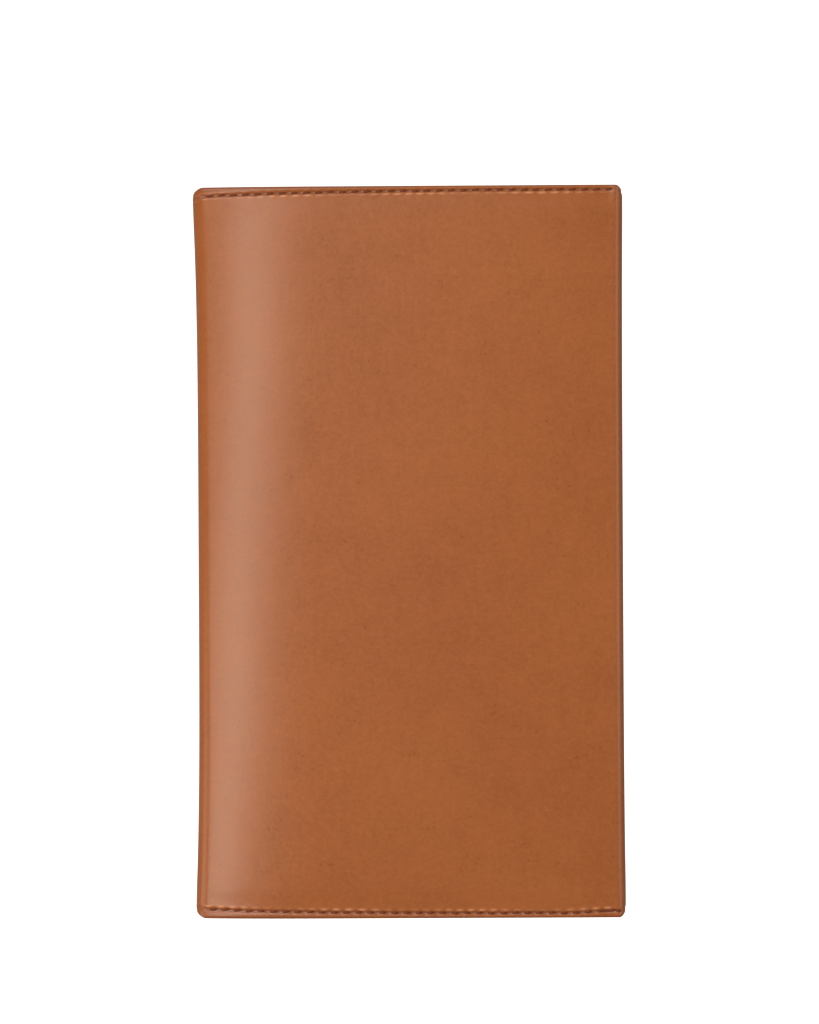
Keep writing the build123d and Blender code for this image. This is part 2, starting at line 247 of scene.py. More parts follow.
class Finish:
    """A material whose nodes are added from Python."""

    def __init__(self, name, **fixed):
        self.material = bpy.data.materials.new(name)
        self.material.use_nodes = True
        self.tree = self.material.node_tree
        self.shader = self.tree.nodes["Principled BSDF"]
        for socket, value in fixed.items():
            self.shader.inputs[socket.replace("_", " ")].default_value = value

    def node(self, kind, settings=None, inputs=None, output=0):
        """Adds a node. Its settings are set first, and then the values or links of its sockets."""
        made = self.tree.nodes.new(kind)
        for key, value in (settings or {}).items():
            setattr(made, key, value)
        for key, value in (inputs or {}).items():
            if isinstance(value, Value):
                self.tree.links.new(value.socket, made.inputs[key])
            else:
                made.inputs[key].default_value = value
        return Value(self, made.outputs[output])

    def cut_place(self, stretch=(1, 1, 1)):
        """The place on the flat cut, in metres, from the piece's own UV map."""
        place = self.node("ShaderNodeUVMap", {"uv_map": "cut"})
        return self.node("ShaderNodeMapping", {}, {"Vector": place, "Scale": stretch})

    def split(self, place):
        """The first two coordinates of a place."""
        along = self.node("ShaderNodeSeparateXYZ", {}, {0: place})
        return along, Value(self, along.socket.node.outputs[1])

    def number(self, name):
        """A number that was kept at each point of the piece."""
        return self.node("ShaderNodeAttribute", {"attribute_name": name}, output=2)

    def noise(self, place, size, detail=3.0, roughness=0.5):
        inputs = {"Vector": place, "Scale": 1 / size, "Detail": detail, "Roughness": roughness}
        return self.node("ShaderNodeTexNoise", {}, inputs)

    def cells(self, place, size, feature="SMOOTH_F1"):
        inputs = {"Vector": place, "Scale": 1 / size}
        return self.node("ShaderNodeTexVoronoi", {"feature": feature}, inputs)

    def mix(self, factor, low, high):
        """A colour between low and high."""
        inputs = {0: factor, 6: low, 7: high}
        return self.node("ShaderNodeMix", {"data_type": "RGBA"}, inputs, output=2)

    def use(self, socket, value):
        self.tree.links.new(value.socket, self.shader.inputs[socket])

    def bump(self, height, distance, strength=1.0):
        inputs = {"Height": height, "Distance": distance, "Strength": strength}
        self.use("Normal", self.node("ShaderNodeBump", {}, inputs))


def linear(red, green, blue):
    """A colour given as it looks on a screen, from 0 to 255, as the numbers that a shader takes."""
    parts = [value / 255 for value in (red, green, blue)]
    return (*[((p + 0.055) / 1.055) ** 2.4 if p > 0.04045 else p / 12.92 for p in parts], 1)


# %% [markdown]
# The sweep is paper that glows a plain white, so no shadow or corner of the studio shows on it.

# %% White paper
paper = Finish("white_paper", Roughness=0.9, Emission_Strength=1.0)
paper.shader.inputs["Base Color"].default_value = (0.9, 0.9, 0.9, 1)
paper.shader.inputs["Emission Color"].default_value = (1, 1, 1, 1)
sweep.data.materials.append(paper.material)
print("sweep is", paper.material.name)

# %% [markdown]
# ## Finishes
# The leather is vegetable-tanned and smooth. Close up it has a fine pore grain and faint wrinkles, and its
# colour drifts a little over a few centimetres. Along the seams it carries painted shade in the stitch
# groove and on the border beyond, with some of the darkening that the press of the sewing foot leaves,
# and a painted highlight on the small swellings just inside the stitches. Patterns are read from each
# piece's flat cut, so they follow the leather round every fold.

# %% Leather


def make_leather():
    """Smooth tan leather, with a painted highlight where it swells between the stitches, and painted shade
    along the seams on top of the darkening of pressed leather.
    """
    tan = Finish("tan_leather", Specular_IOR_Level=0.38)
    place = tan.cut_place()
    drift = tan.noise(place, 55 * MM, 2.0)
    clouds = tan.noise(place, 9 * MM, 1.5)
    mottle = tan.noise(place, 1.7 * MM, 1.5)
    grain = tan.noise(place, 0.8 * MM, 1.0)
    fibres = tan.noise(tan.cut_place((1, 0.45, 1)), 3.2 * MM, 2.0)
    pores = tan.cells(place, 0.62 * MM)
    pinpoints = 1 - tan.cells(place, 1.9 * MM, "F1").smooth(0.06, 0.22)
    tone = (drift - 0.5) * 0.5 + (clouds - 0.5) * 0.24 + (mottle - 0.5) * 0.3 + (fibres - 0.5) * 0.2
    tone = tone + (grain - 0.5) * 0.4 - pinpoints * 0.08 + 0.52
    colour = tan.mix(tone.clipped(), linear(124, 62, 24), linear(161, 93, 42))
    redder = tan.mix(clouds.smooth(0.35, 0.8) * 0.2, colour, linear(146, 74, 34))
    # Painted highlight: the small swellings inside the stitch rows are mixed towards a light tan.
    pucker_highlight = tan.mix((tan.number("pucker") * 0.85).clipped(), redder, linear(204, 138, 92))
    # Painted shade along the seams, in the stitch groove and on the rolled border, over some darkening of
    # pressed leather.
    pressed_and_shaded = tan.mix((tan.number("seam") * 0.7).clipped(), pucker_highlight, linear(98, 50, 26))
    tan.use("Base Color", pressed_and_shaded)
    tan.use("Roughness", (clouds - 0.5) * 0.05 + (mottle - 0.5) * 0.06 + (grain - 0.5) * 0.06 + 0.3)
    relief = mottle * 0.5 + fibres * 0.35 + pores * 0.3 + grain * 0.35 - pinpoints * 0.12
    tan.bump(relief, 0.045 * MM, 0.6)
    return tan.material


def make_edge():
    """Cut edges, stained and burnished until they shine."""
    edge = Finish("burnished_edge", Specular_IOR_Level=0.5)
    place = edge.cut_place()
    grain = edge.noise(place, 0.5 * MM, 4.0, 0.6)
    edge.use("Base Color", edge.mix(grain, linear(92, 46, 26), linear(136, 76, 44)))
    edge.use("Roughness", grain * 0.2 + 0.35)
    edge.bump(grain, 0.05 * MM, 0.6)
    return edge.material


leather = make_leather()
burnished = make_edge()
for finish in (leather, burnished):
    print(finish.name, len(finish.node_tree.nodes), "nodes")

# %% [markdown]
# The lining is a fine brown twill: its diagonal ribs come from two thread directions, each thread
# passing over two and under two. The cloth behind the card slots is a plain weave, thinner still. Both
# are drawn as waves along and across the cut, which cross and are shifted against each other.

# %% Cloth and thread
TWILL_THREAD = 0.5 * MM
NYLON_THREAD = 0.3 * MM
THREAD_TWIST = 0.5 * MM


def make_weave(name, dark, light, thread, shift):
    """A woven cloth. Shift moves each row along: half a thread makes a plain weave, a quarter a twill."""
    cloth = Finish(name, Specular_IOR_Level=0.25, Sheen_Weight=0.25, Sheen_Roughness=0.5)
    place = cloth.cut_place()
    along, across = cloth.split(place)
    turns = 2 * math.pi / thread
    warp = (along * turns).maths("SINE")
    weft = (across * turns).maths("SINE")
    over = ((along + across * shift) * (turns / 2)).maths("SINE")
    ribs = (warp * over.clipped() + weft * (-over).clipped()) * 0.5 + 0.5
    dust = cloth.noise(place, 4 * MM, 3.0)
    cloth.use("Base Color", cloth.mix((ribs * 0.7 + dust * 0.4).clipped(), dark, light))
    cloth.use("Roughness", ribs * -0.15 + 0.85)
    cloth.bump(ribs, 0.08 * MM, 0.8)
    return cloth.material


def make_thread():
    """Waxed two-ply thread: the twist shows as slanting stripes round each stitch."""
    waxed = Finish("waxed_thread", Specular_IOR_Level=0.3)
    place = waxed.cut_place()
    along, across = waxed.split(place)
    twist = ((along + across) * (2 * math.pi / THREAD_TWIST)).maths("SINE") * 0.5 + 0.5
    fuzz = waxed.noise(place, 0.3 * MM, 3.0)
    tone = (twist * 0.6 + fuzz * 0.4).clipped()
    waxed.use("Base Color", waxed.mix(tone, linear(62, 24, 3), linear(126, 56, 12)))
    waxed.use("Roughness", fuzz * 0.25 + 0.45)
    waxed.bump(twist, 0.06 * MM, 0.7)
    return waxed.material


twill = make_weave("brown_twill", linear(64, 40, 26), linear(122, 84, 58), TWILL_THREAD, 1.0)
nylon = make_weave("slot_nylon", linear(58, 36, 24), linear(104, 72, 50), NYLON_THREAD, 2.0)
thread = make_thread()
for finish in (twill, nylon, thread):
    print(finish.name, len(finish.node_tree.nodes), "nodes")

# %% [markdown]
# The foam and the fibre board lie between the leather and the lining, where only their edges could
# ever be seen, so a single pattern is enough for each: round pores, and strands drawn out one way.

# %% Foam and board


def make_foam():
    foam = Finish("pale_foam", Specular_IOR_Level=0.2)
    pores = foam.cells(foam.cut_place(), 0.4 * MM)
    foam.use("Base Color", foam.mix(pores, linear(176, 168, 150), linear(222, 216, 200)))
    foam.use("Roughness", pores * 0.1 + 0.85)
    foam.bump(pores, 0.1 * MM)
    return foam.material


def make_fibre_board():
    board = Finish("fibre_board", Specular_IOR_Level=0.3)
    strands = board.noise(board.cut_place((1, 0.2, 1)), 0.8 * MM, 4.0, 0.7)
    board.use("Base Color", board.mix(strands, linear(128, 100, 72), linear(182, 154, 120)))
    board.use("Roughness", strands * 0.15 + 0.75)
    board.bump(strands, 0.05 * MM)
    return board.material


foam = make_foam()
fibre_board = make_fibre_board()
print(foam.name, "and", fibre_board.name)

# %% [markdown]
# ## The line that every layer follows
# Seen from above, the outside of a half starts at the middle of the spine, turns round a small nose,
# eases on to the flat of the cover in one long shallow curve, and turns back on itself at the fore
# edge. `run` is the distance along that line, so a place on the flat cut is a run and a height.

# %% Line
EASE = math.radians(12.0)  # slope of the cover where the nose ends
EASE_LONG = 32 * MM


def eased(share):
    """Way along x and y of the ease curve up to a share of it. Its slope falls off as a square, and its
    sine and cosine are taken to their second terms."""
    left = 1 - share
    along = EASE_LONG * (share - EASE**2 / 10 * (1 - left**5))
    return along, EASE_LONG * (EASE / 3 * (1 - left**3) - EASE**3 / 42 * (1 - left**7))


NOSE_RADIUS = (HALF_THICK - eased(1)[1]) / math.cos(EASE)
NOSE_TURN = math.pi / 2 - EASE
NOSE_RUN = NOSE_RADIUS * NOSE_TURN
NOSE_END = SPINE_X + NOSE_RADIUS * (1 - math.sin(EASE))
EASE_RUN = NOSE_RUN + EASE_LONG
EASE_X = NOSE_END + eased(1)[0]
FOLD_RUN = EASE_RUN + FOLD_X - EASE_X
SLEEVE_RUN = FOLD_RUN + math.pi * FOLD_RADIUS
MOUTH_RUN = SLEEVE_RUN + FOLD_X - MOUTH_X
CREST_RUN = FOLD_RUN + math.pi / 2 * FOLD_RADIUS


def line_at(run):
    """Place and outward direction of the front half's line: x, y, out_x, out_y."""
    nose = np.clip(run, 0, NOSE_RUN) / NOSE_RADIUS
    share = np.clip((run - NOSE_RUN) / EASE_LONG, 0, 1)
    ease = math.pi / 2 - EASE * (1 - share) ** 2
    fold = np.clip(run - FOLD_RUN, 0, math.pi * FOLD_RADIUS) / FOLD_RADIUS
    nose_x, nose_y = SPINE_X + NOSE_RADIUS * (1 - np.cos(nose)), -NOSE_RADIUS * np.sin(nose)
    ease_x, ease_y = eased(share)
    ease_x, ease_y = NOSE_END + ease_x, -NOSE_RADIUS * math.cos(EASE) - ease_y
    fold_x = FOLD_X + FOLD_RADIUS * np.sin(fold)
    fold_y = -HALF_THICK + FOLD_RADIUS * (1 - np.cos(fold))
    stages = [run < NOSE_RUN, run < EASE_RUN, run < FOLD_RUN, run < SLEEVE_RUN]
    flat_x, sleeve_x = EASE_X + run - EASE_RUN, FOLD_X - (run - SLEEVE_RUN)
    x = np.select(stages, [nose_x, ease_x, flat_x, fold_x], sleeve_x)
    y = np.select(stages, [nose_y, ease_y, -HALF_THICK + 0 * run, fold_y], -HALF_THICK + HALF_DEPTH)
    out_x = np.select(stages, [-np.cos(nose), -np.cos(ease), 0 * run, np.sin(fold)], 0)
    out_y = np.select(stages, [-np.sin(nose), -np.sin(ease), -1 + 0 * run, -np.cos(fold)], 1)
    return x, y, out_x, out_y


print(f"nose {NOSE_RUN / MM:.1f} mm, fold at {FOLD_RUN / MM:.1f}, mouth at {MOUTH_RUN / MM:.1f}")

# %% [markdown]
# Real leather is never as true as its drawing. The spine is drawn in a millimetre between its stiff
# sewn ends, the fore edge dips a little where the padding stops, the covers crown over the foam, and
# the corners are rounded by the turned edges. All of this is a small, smooth shift of the line, and
# each layer takes the same shift, so the layers stay stacked.

# %% Softening


def soft_step(value, low, high):
    t = np.clip((value - low) / (high - low), 0, 1)
    return t * t * (3 - 2 * t)


SPINE_WAIST = 1.2 * MM
SPINE_OUT = 0.45 * MM  # the sewn ends of the spine stand out by this much
SPINE_FADE = 30 * MM
FORE_WAIST = 0.35 * MM
FORE_FADE = 25 * MM
FORE_DIP = 0.22 * MM
DIP_START = 11 * MM  # before the fold
SPINE_CORNER = (1.0 * MM, 4.8 * MM)  # how far a corner drops, and how far along the line it reaches
FORE_CORNER = (0.75 * MM, 2.7 * MM)
CORNER_PULL = 0.3 * MM
CORNER_HIGH = 2.4 * MM
CROWN = 0.22 * MM
CROWN_RISE = (8 * MM, 32 * MM)
CROWN_FALL = 34 * MM  # before the fold
SWAY = 0.07 * MM


def waist(height):
    """1 at the wallet's half height and 0 at its top and bottom."""
    return 1 - (2 * height / HEIGHT - 1) ** 4


def lie(side, run, height, depth):
    """Points of a layer: its place on the cut, and how deep it lies under the outside of the strip."""
    run, height, depth = (np.asarray(v, float) + np.zeros(np.shape(run)) for v in (run, height, depth))
    x, y, out_x, out_y = line_at(run)
    near_spine = 1 - soft_step(run, 0, SPINE_CORNER[1])
    near_fore = 1 - soft_step(np.abs(run - CREST_RUN), 0, FORE_CORNER[1])
    squeeze = 1 - (near_spine * SPINE_CORNER[0] + near_fore * FORE_CORNER[0]) / (HEIGHT / 2)
    at_end = 1 - soft_step(np.minimum(height, HEIGHT - height), 0, CORNER_HIGH)
    x = x - out_x * depth
    y = y - out_y * depth
    spine_pull = (SPINE_WAIST * waist(height) - SPINE_OUT) * (1 - soft_step(run, 0, SPINE_FADE))
    fore_pull = FORE_WAIST * waist(height) * soft_step(x, FOLD_X - FORE_FADE, FOLD_X)
    x = x + spine_pull - fore_pull + CORNER_PULL * at_end * (near_spine - near_fore)
    on_cover = 1 - soft_step(run, FOLD_RUN, SLEEVE_RUN)
    dip = FORE_DIP * soft_step(run, FOLD_RUN - DIP_START, FOLD_RUN + 1 * MM)
    crown = CROWN * soft_step(run, *CROWN_RISE) * (1 - soft_step(run, FOLD_RUN - CROWN_FALL, FOLD_RUN))
    crown = crown * np.clip(waist(height), 0, 1)
    sway = SWAY * np.sin(run / (15 * MM) + height / (31 * MM)) * np.sin(height / (23 * MM) + 0.8)
    sway = sway * soft_step(run, 6 * MM, 20 * MM) * np.clip(waist(height), 0, 1)
    y = y + (dip - crown + sway) * on_cover * np.clip(1 - depth / HALF_DEPTH, 0, 1)
    z = HEIGHT / 2 + (height - HEIGHT / 2) * squeeze
    return np.stack([x, -side * y, z], -1)


edges = lie(FRONT, np.array([0, CREST_RUN]), HEIGHT / 2, 0)[:, 0]
print(f"{(edges[1] - edges[0]) / MM:.1f} mm wide at half height")

# %% [markdown]
# ## Seams
# Each seam is a row of lock stitches, three millimetres apart, a little over a millimetre in from the
# edge, and further in near the spine. A stitch presses the leather down along its length and most at
# its holes, and the leather swells between the holes and just inside the row.

# %% Seam shape
SEAM_IN = 1.13 * MM
SEAM_IN_AT_SPINE = 1.4 * MM  # added at the spine, and fading along the row
SEAM_IN_AT_FOOT = 0.1 * MM  # added to the bottom row
SEAM_IN_AT_FORE = 0.55 * MM  # added where the bottom row ends
SEAM_PRESS = 0.34 * MM
SEAM_GROOVE = 0.45 * MM
HEM_PRESS = 0.22 * MM
SEAM_SWELL = 0.16 * MM
SWELL_IN = 0.68 * MM
FIRST_STITCH = 3.6 * MM


def sewn(run):
    """1 along a seam, 0 where the spine and the fore edge close over it."""
    outside = soft_step(run, 1.5 * MM, 5 * MM) - soft_step(run, FOLD_RUN - 1.3 * MM, FOLD_RUN + 0.2 * MM)
    return outside + soft_step(run, SLEEVE_RUN - 0.2 * MM, SLEEVE_RUN + 1.3 * MM)


def seam_in(run, top):
    """Distance from the edge to the row of stitches."""
    near_spine = np.exp(-np.asarray(run) / (28 * MM))
    near_fore = soft_step(run, FOLD_RUN - 14 * MM, FOLD_RUN)
    at_foot = 0.0 if top else SEAM_IN_AT_FOOT
    at_fore = near_fore * (0.0 if top else SEAM_IN_AT_FORE)
    return SEAM_IN + at_foot + SEAM_IN_AT_SPINE * near_spine + at_fore


def from_seam(run, height, top):
    """How far a place lies past the row of stitches, away from the edge."""
    return (HEIGHT - height if top else height) - seam_in(run, top)


def seam_relief(run, height):
    """How far the seams push the leather out (+) or in (-)."""
    relief = 0
    wave = np.cos(2 * math.pi * (run - FIRST_STITCH) / PITCH)
    for top in (False, True):
        inward = from_seam(run, height, top)
        pressed = np.exp(-((inward / SEAM_GROOVE) ** 2)) * (1 - 0.35 * wave)
        hem = 1 - soft_step(inward, 0.6 * MM, 6 * MM)
        relief = relief - SEAM_PRESS * pressed - HEM_PRESS * hem
    return relief * (0.25 + 0.75 * sewn(run)) + SEAM_SWELL * seam_pucker(run, height)


def seam_pucker(run, height):
    """1 at the top of each small swelling between the stitches, just inside the row."""
    drift = 0.22 * np.sin(run / (7.3 * MM) + height / HEIGHT)
    wave = np.cos(2 * math.pi * ((run - FIRST_STITCH) / PITCH - 0.4 - drift))
    size = 0.62 + 0.38 * np.sin(run / (5.1 * MM) + 3 * height / HEIGHT)
    swollen = 0
    for top in (False, True):
        inward = from_seam(run, height, top)
        band = np.exp(-(((inward - SWELL_IN) / (0.3 * MM)) ** 2))
        swollen = swollen + band * (0.45 + 0.55 * wave)
    return swollen * size * sewn(run)


def seam_shade_and_press(run, height):
    """1 where the leather is darker along a seam: painted shade in the stitch groove and on the border that
    rolls away past it, with some darkening of pressed leather.
    """
    dark = 0
    for top in (False, True):
        inward = from_seam(run, height, top)
        # In the stitch groove: painted shade, with some darkening of pressed leather.
        dark = np.maximum(dark, 0.75 * np.exp(-((inward / (0.38 * MM)) ** 2)))
        # Past the row, towards the edge that rolls away: painted shade.
        dark = np.maximum(dark, 0.4 * soft_step(-inward, 0.5 * MM, 1.5 * MM))
    return dark * (0.3 + 0.7 * sewn(run))


# %% [markdown]
# ## Cutting and folding a sheet
# A sheet starts as a grid that is as large as the flat cut. Its rows and columns are slid closer
# together where the shape is fine, the place of every point on the cut is kept as its UV, and then the
# points are moved to where the folded sheet lies. The thickness is a Solidify modifier, and its rim
# takes the next material, the burnished edge.

# %% Sheet tools


def spaced(*stops):
    """Places along a cut: each stop is (end, spacing up to there), and the first is where it starts."""
    places = [stops[0]]
    for end, spacing in stops[1:]:
        count = max(1, round((end - places[-1]) / spacing))
        places += list(np.linspace(places[-1], end, count + 1)[1:])
    return np.array(places)


def keep_cut(piece, run, height):
    """Writes each point's place on the cut to the piece's UV map."""
    loops = np.zeros(len(piece.data.loops), int)
    piece.data.loops.foreach_get("vertex_index", loops)
    layer = piece.data.uv_layers.get("cut") or piece.data.uv_layers.new(name="cut")
    layer.data.foreach_set("uv", np.stack([run, height], -1)[loops].astype(np.float32).ravel())
    piece.data.uv_layers.active = layer


def keep_value(piece, name, values):
    """Writes one number for each point of a piece, for its material to read."""
    attribute = piece.data.attributes.new(name, "FLOAT", "POINT")
    attribute.data.foreach_set("value", np.asarray(values, np.float32))


def points(piece):
    co = np.zeros(len(piece.data.vertices) * 3)
    piece.data.vertices.foreach_get("co", co)
    return co.reshape(-1, 3)


def move_points(piece, places):
    piece.data.vertices.foreach_set("co", places.astype(np.float32).ravel())
    piece.data.update()


def cut_sheet(name, runs, heights):
    """A flat grid with its columns at these runs and its rows at these heights, laid out in XY."""
    bpy.ops.object.select_all(action="DESELECT")
    columns, rows = len(runs) - 1, len(heights) - 1
    bpy.ops.mesh.primitive_grid_add(x_subdivisions=columns, y_subdivisions=rows, size=1, calc_uvs=False)
    piece = active()
    piece.name = name
    piece.data.name = name
    for old in list(piece.data.uv_layers):
        piece.data.uv_layers.remove(old)
    flat = points(piece)
    run = runs[np.rint((flat[:, 0] + 0.5) * columns).astype(int)]
    height = heights[np.rint((flat[:, 1] + 0.5) * rows).astype(int)]
    move_points(piece, np.stack([run, height, 0 * run], -1))
    keep_cut(piece, run, height)
    return piece, run, height


# %% [markdown]
# Thickness and edges come after the fold. Solidify builds the thickness inwards, so the outside stays
# where it was laid, and a bevel takes the sharpness only off the edges that a test picks out.

# %% Thickness and edges


def thicken(piece, thickness):
    """Gives a sheet its thickness, inwards from the face that it has."""
    solid = piece.modifiers.new("thickness", "SOLIDIFY")
    solid.thickness = thickness
    solid.offset = -1
    solid.material_offset_rim = 1
    bpy.context.view_layer.objects.active = piece
    bpy.ops.object.modifier_apply(modifier="thickness")


def face_outwards(piece, turned):
    """Turns a sheet's faces over if its fold has left them looking inwards."""
    if turned:
        bpy.context.view_layer.objects.active = piece
        bpy.ops.object.mode_set(mode="EDIT")
        bpy.ops.mesh.select_all(action="SELECT")
        bpy.ops.mesh.flip_normals()
        bpy.ops.object.mode_set(mode="OBJECT")


def soften_edges(piece, keep, width, segments=2):
    """Bevels the sharp edges whose middle passes the test."""
    bpy.context.view_layer.objects.active = piece
    deselect_mesh()
    mesh = piece.data
    places = points(piece)
    normals = np.array([face.normal for face in mesh.polygons])
    faces = {}
    for face in mesh.polygons:
        for key in face.edge_keys:
            faces.setdefault(key, []).append(face.index)
    for edge in mesh.edges:
        sides = faces.get(edge.key, [])
        sharp = len(sides) == 2 and normals[sides[0]] @ normals[sides[1]] < 0.5
        edge.select = bool(sharp and keep(places[list(edge.vertices)].mean(0)))
    bpy.ops.object.mode_set(mode="EDIT")
    bpy.ops.mesh.select_mode(type="EDGE")
    bpy.ops.mesh.bevel(offset=width, segments=segments, affect="EDGES", clamp_overlap=True)
    bpy.ops.object.mode_set(mode="OBJECT")


def finish_piece(piece, materials):
    piece.data.materials.clear()
    for material in materials:
        piece.data.materials.append(material)
    bpy.context.view_layer.objects.active = piece
    piece.select_set(True)
    bpy.ops.object.shade_smooth_by_angle(angle=math.radians(50))
    piece.select_set(False)
    return piece


# %% [markdown]
# A layer near the spine is left as it was laid on the line: bend_with_spine only bakes the piece's placing
# into its points.

# %% Baking pieces in place
NAMES = {FRONT: "front", BACK: "back"}


def bend_with_spine(piece, side):
    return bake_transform(piece)


# %% [markdown]
# ## Leather strip
# One half of the strip runs from the middle of the spine to the mouth of the note sleeve. Its top and
# bottom margins are turned in: the outside goes round the edge and lies two leathers deep.

# %% Strip
EDGE_HIGH = 0.72 * MM  # half the turned edge, up the wallet
EDGE_DEEP = HEM_DEPTH / 2
EDGE_ARC = math.pi * math.sqrt((EDGE_HIGH**2 + EDGE_DEEP**2) / 2)
HEM_FLAT = HEM_WIDTH - EDGE_HIGH
CREASE_IN = 2.2 * MM  # every creased line runs this far inside its mouth
CUT_HEIGHT = HEIGHT - 2 * EDGE_HIGH + 2 * (EDGE_ARC + HEM_FLAT)


def turn_edges(up):
    """Height and depth of a place on the cut, from how far up the cut it is."""
    low = np.minimum(up, CUT_HEIGHT - up)
    turn = np.clip((low - HEM_FLAT) / EDGE_ARC, 0, 1) * math.pi
    in_hem = EDGE_HIGH + np.clip(HEM_FLAT - low, 0, None)
    past = EDGE_HIGH * (1 - np.sin(turn)) + np.clip(low - HEM_FLAT - EDGE_ARC, 0, None)
    height = np.where(low < HEM_FLAT, in_hem, past)
    return np.where(up > CUT_HEIGHT / 2, HEIGHT - height, height), EDGE_DEEP * (1 + np.cos(turn))


def mirrored(places, total):
    """The same spacing from the other end."""
    return np.unique(np.concatenate([places, total - places]).round(7))


def make_strip(side):
    name = NAMES[side]
    runs = spaced(
        0, (NOSE_RUN, 0.32 * MM), (FOLD_RUN, 0.6 * MM), (SLEEVE_RUN, 0.42 * MM), (MOUTH_RUN, 0.75 * MM)
    )
    edge_end = HEM_FLAT + EDGE_ARC
    ups = spaced(
        0, (HEM_FLAT, 1.6 * MM), (edge_end, 0.3 * MM), (edge_end + 3 * MM, 0.24 * MM),
        (edge_end + 7 * MM, 0.8 * MM), (CUT_HEIGHT / 2, 3.6 * MM),
    )
    strip, run, up = cut_sheet(f"{name}_leather", runs, mirrored(ups, CUT_HEIGHT))
    height, depth = turn_edges(up)
    outside = np.clip(1 - depth / EDGE_DEEP, 0, 1)
    mouth_crease = np.exp(-(((MOUTH_RUN - run - CREASE_IN) / (0.5 * MM)) ** 2)) * 0.16 * MM
    relief = (seam_relief(run, height) - mouth_crease) * outside
    move_points(strip, lie(side, run, height, depth - relief))
    # The seam's darkening, kept for the leather's painted shade.
    keep_value(strip, "seam", seam_shade_and_press(run, height) * outside)
    # The swellings, kept for the leather's painted highlight.
    keep_value(strip, "pucker", np.clip(seam_pucker(run, height), 0, 1) * outside)
    face_outwards(strip, side == BACK)
    thicken(strip, LEATHER)
    soften_edges(strip, lambda at: abs(at[0] - MOUTH_X) < 0.1 * MM, 0.28 * MM, 3)
    finish_piece(strip, [leather, burnished])
    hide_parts(f"{name}_cover", f"{name}_fore_edge", f"{name}_note_sleeve", "spine_wrap")
    bend_with_spine(strip, side)
    print(f"{strip.name} {len(strip.data.polygons)} faces, cut {MOUTH_RUN / MM:.1f} x {CUT_HEIGHT / MM:.1f}")


for side in (FRONT, BACK):
    make_strip(side)

# %% [markdown]
# ## Layers under the leather
# Foam, stiffener board and lining are plain sheets at their own depths on the same line.

# %% Inner layers
BEND_END = 12 * MM  # the sheet is cut finer up to this run


def make_layer(name, side, first, last, margin, depth, thickness, material, nodes):
    """A sheet on the line of one half, from one run to another, at one depth."""
    runs = spaced(first, (min(last, max(first + 1 * MM, BEND_END)), 0.3 * MM), (last, 2.4 * MM))
    heights = spaced(margin, (HEIGHT - margin, 3.6 * MM))
    sheet, run, height = cut_sheet(name, runs, heights)
    move_points(sheet, lie(side, run, height, depth))
    face_outwards(sheet, side == BACK)
    thicken(sheet, thickness)
    finish_piece(sheet, [material, material])
    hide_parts(*nodes)
    bend_with_spine(sheet, side)
    print(name, len(sheet.data.polygons), "faces")
    return sheet, (last - first, HEIGHT - 2 * margin)


CORE_TOP = 1.02 * MM
CORE_MARGIN = HEM_WIDTH + 0.1 * MM
CORE_END = FOLD_RUN - 1 * MM
FOAM = 0.45 * MM
BOARD = 0.45 * MM
BOARD_TOP = 1.51 * MM
LINING_TOP = HEM_DEPTH + 0.01 * MM
LINING_MARGIN = 0.9 * MM
BOARD_START = 14 * MM

for side, name in NAMES.items():
    make_layer(f"{name}_foam", side, 0, CORE_END, CORE_MARGIN, CORE_TOP, FOAM, foam,
               [f"{name}_padding", "spine_padding"])
    make_layer(f"{name}_stiffener", side, BOARD_START, CORE_END, CORE_MARGIN, BOARD_TOP, BOARD,
               fibre_board, [f"{name}_board"])
    make_layer(f"{name}_spine_reinforcement", side, 0, BOARD_START - 2 * MM, CORE_MARGIN, BOARD_TOP, BOARD,
               fibre_board, ["spine_reinforcement"])
    lining, size = make_layer(f"{name}_twill", side, 0, FOLD_RUN - 0.5 * MM, LINING_MARGIN, LINING_TOP,
                              LINING, twill, [f"{name}_lining", "spine_lining"])

# %% [markdown]
# The sleeve is lined too. That lining faces the cover's lining, and banknotes slide between them.

# %% Sleeve lining
for side, name in NAMES.items():
    lining, size = make_layer(f"{name}_sleeve_twill", side, SLEEVE_RUN + 0.2 * MM, MOUTH_RUN - 0.8 * MM,
                              CORE_MARGIN, 1.0 * MM, LINING, twill, [f"{name}_sleeve_lining"])

# %% [markdown]
# ## Card slots
# Eight slots overlap like roof tiles. Each has a leather facing with a creased line under its opening,
# and a thin cloth behind it that carries the card. The stack is pressed flat where its sides are sewn.

# %% Card slot shape
SLOT_COUNT = 8
SLOT_LEATHER = 0.48 * MM
SLOT_CLOTH = 0.12 * MM
CLOTH_UNDER = 0.16 * MM
PANEL_SEAM = 1.5 * MM
panel_low, panel_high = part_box("card_slot_1")
PANEL_LEFT, PANEL_RIGHT = panel_low.x, panel_high.x
PANEL_BASE = panel_low.z
SLEEVE_FACE = HALF_DEPTH - HALF_THICK  # y of the front sleeve's inner face
slot_low, slot_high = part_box("card_slot_2")
SLOT_RISE = slot_high.y - 0.5 * MM - SLEEVE_FACE
FACING = slot_high.z - slot_low.z
FOOT_RISE = slot_low.y - SLEEVE_FACE


def side_press(x):
    """How far the sewn sides hold the slots down: 1 in the middle, less at the sides."""
    inward = np.minimum(x - PANEL_LEFT, PANEL_RIGHT - x)
    return 0.5 + 0.5 * soft_step(inward, PANEL_SEAM, 9 * MM)


